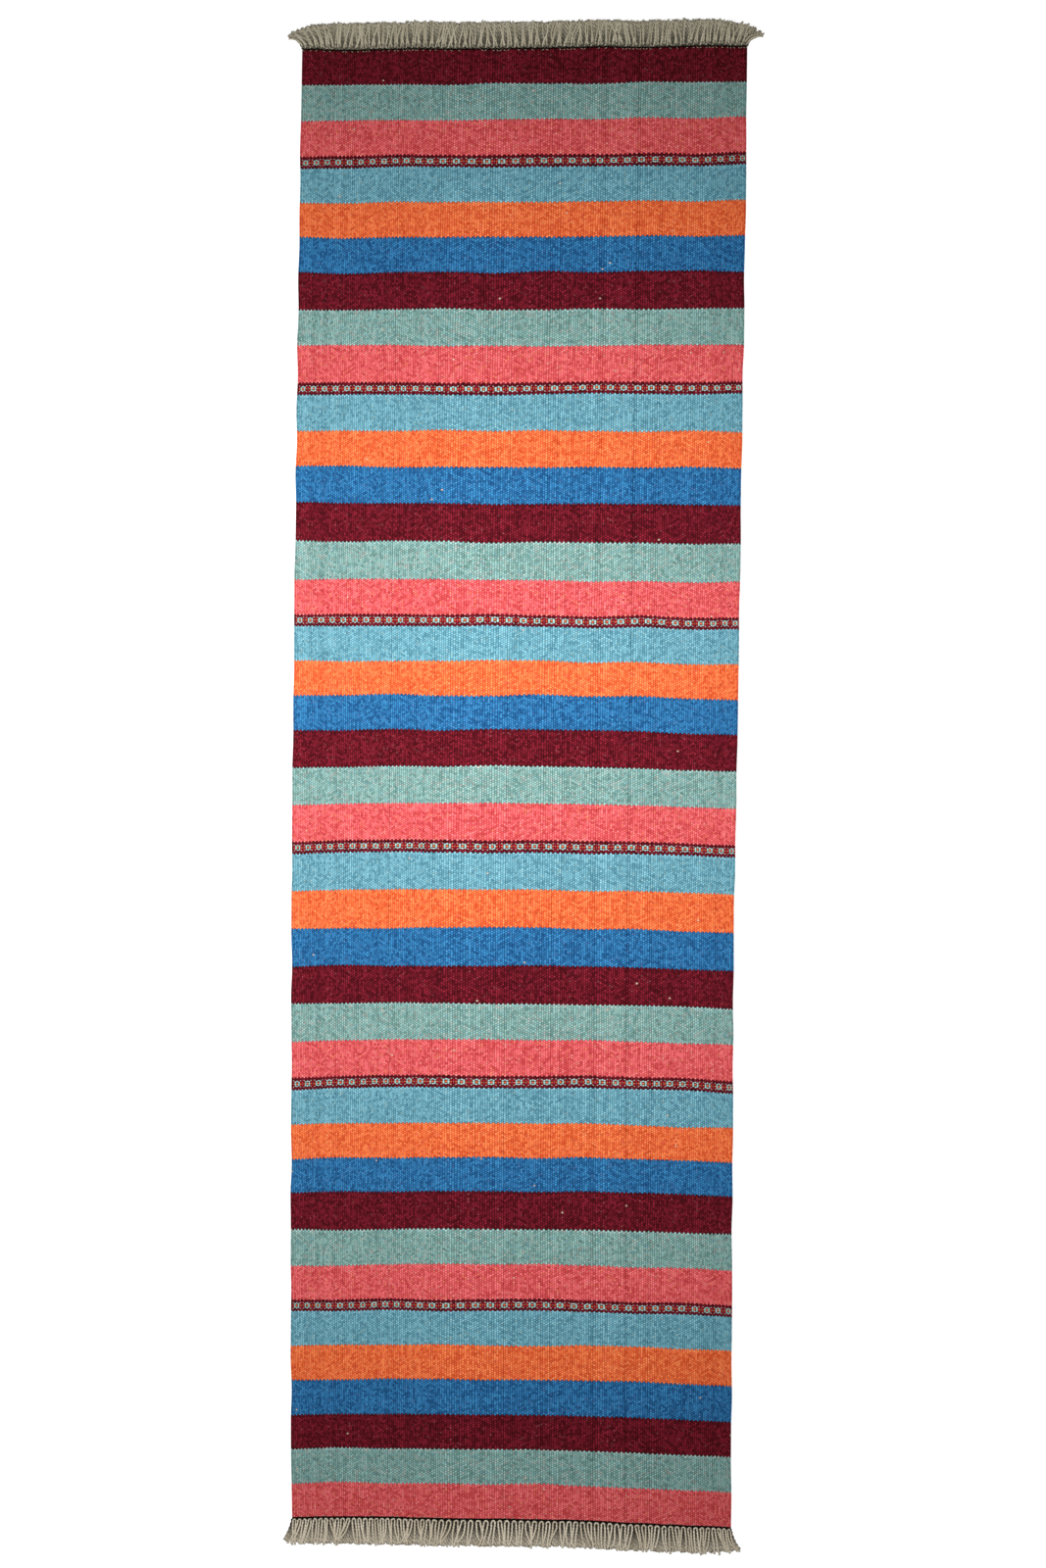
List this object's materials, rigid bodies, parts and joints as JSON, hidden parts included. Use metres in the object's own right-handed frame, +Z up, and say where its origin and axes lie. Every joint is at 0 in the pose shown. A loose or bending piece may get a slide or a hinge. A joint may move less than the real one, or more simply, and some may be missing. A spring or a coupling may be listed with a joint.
{
  "type": "runner rug",
  "caption": "Long narrow flat-woven floor rug in cross stripes of dyed weft, with narrow flowered bands, twined ends and a plied fringe at both ends.",
  "frame": {"origin": "on the floor, under the middle of the rug", "axes": "+Y along the length towards the head end, +X across, +Z up"},
  "size_m": [0.6386, 2.082, 0.0047],
  "materials": {
    "weft_maroon": "dyed wool weft, matte, heathered dark red",
    "weft_sage": "dyed wool weft, matte, grey green",
    "weft_coral": "dyed wool weft, matte, coral red",
    "weft_sky": "dyed wool weft, matte, light blue",
    "weft_orange": "dyed wool weft, matte, orange",
    "weft_blue": "dyed wool weft, matte, mid blue",
    "flower_yarn": "dyed wool floats, pale mint with orange centres, matte",
    "warp_yarn": "undyed spun yarn, matte",
    "twining_cord": "dark twined cord, matte",
    "fringe_yarn": "plied taupe yarn with cut ends, matte"
  },
  "bodies": {
    "root": {"band_01_maroon": "weft_maroon", "band_02_sage": "weft_sage", "band_03_coral": "weft_coral", "band_04_flowered": "weft_maroon", "flower_floats_04": "flower_yarn", "band_05_sky": "weft_sky", "band_06_orange": "weft_orange", "band_07_blue": "weft_blue", "band_08_maroon": "weft_maroon", "band_09_sage": "weft_sage", "band_10_coral": "weft_coral", "band_11_flowered": "weft_maroon", "flower_floats_11": "flower_yarn", "band_12_sky": "weft_sky", "band_13_orange": "weft_orange", "band_14_blue": "weft_blue", "band_15_maroon": "weft_maroon", "band_16_sage": "weft_sage", "band_17_coral": "weft_coral", "band_18_flowered": "weft_maroon", "flower_floats_18": "flower_yarn", "band_19_sky": "weft_sky", "band_20_orange": "weft_orange", "band_21_blue": "weft_blue", "band_22_maroon": "weft_maroon", "band_23_sage": "weft_sage", "band_24_coral": "weft_coral", "band_25_flowered": "weft_maroon", "flower_floats_25": "flower_yarn", "band_26_sky": "weft_sky", "band_27_orange": "weft_orange", "band_28_blue": "weft_blue", "band_29_maroon": "weft_maroon", "band_30_sage": "weft_sage", "band_31_coral": "weft_coral", "band_32_flowered": "weft_maroon", "flower_floats_32": "flower_yarn", "band_33_sky": "weft_sky", "band_34_orange": "weft_orange", "band_35_blue": "weft_blue", "band_36_maroon": "weft_maroon", "band_37_sage": "weft_sage", "band_38_coral": "weft_coral", "band_39_flowered": "weft_maroon", "flower_floats_39": "flower_yarn", "band_40_sky": "weft_sky", "band_41_orange": "weft_orange", "band_42_blue": "weft_blue", "band_43_maroon": "weft_maroon", "band_44_sage": "weft_sage", "band_45_coral": "weft_coral", "warp_set": "warp_yarn", "selvedge_cord_left": "warp_yarn", "selvedge_cord_right": "warp_yarn", "end_twining_head": "twining_cord", "end_twining_foot": "twining_cord", "fringe_head": "fringe_yarn", "fringe_foot": "fringe_yarn"}
  },
  "joints": []
}
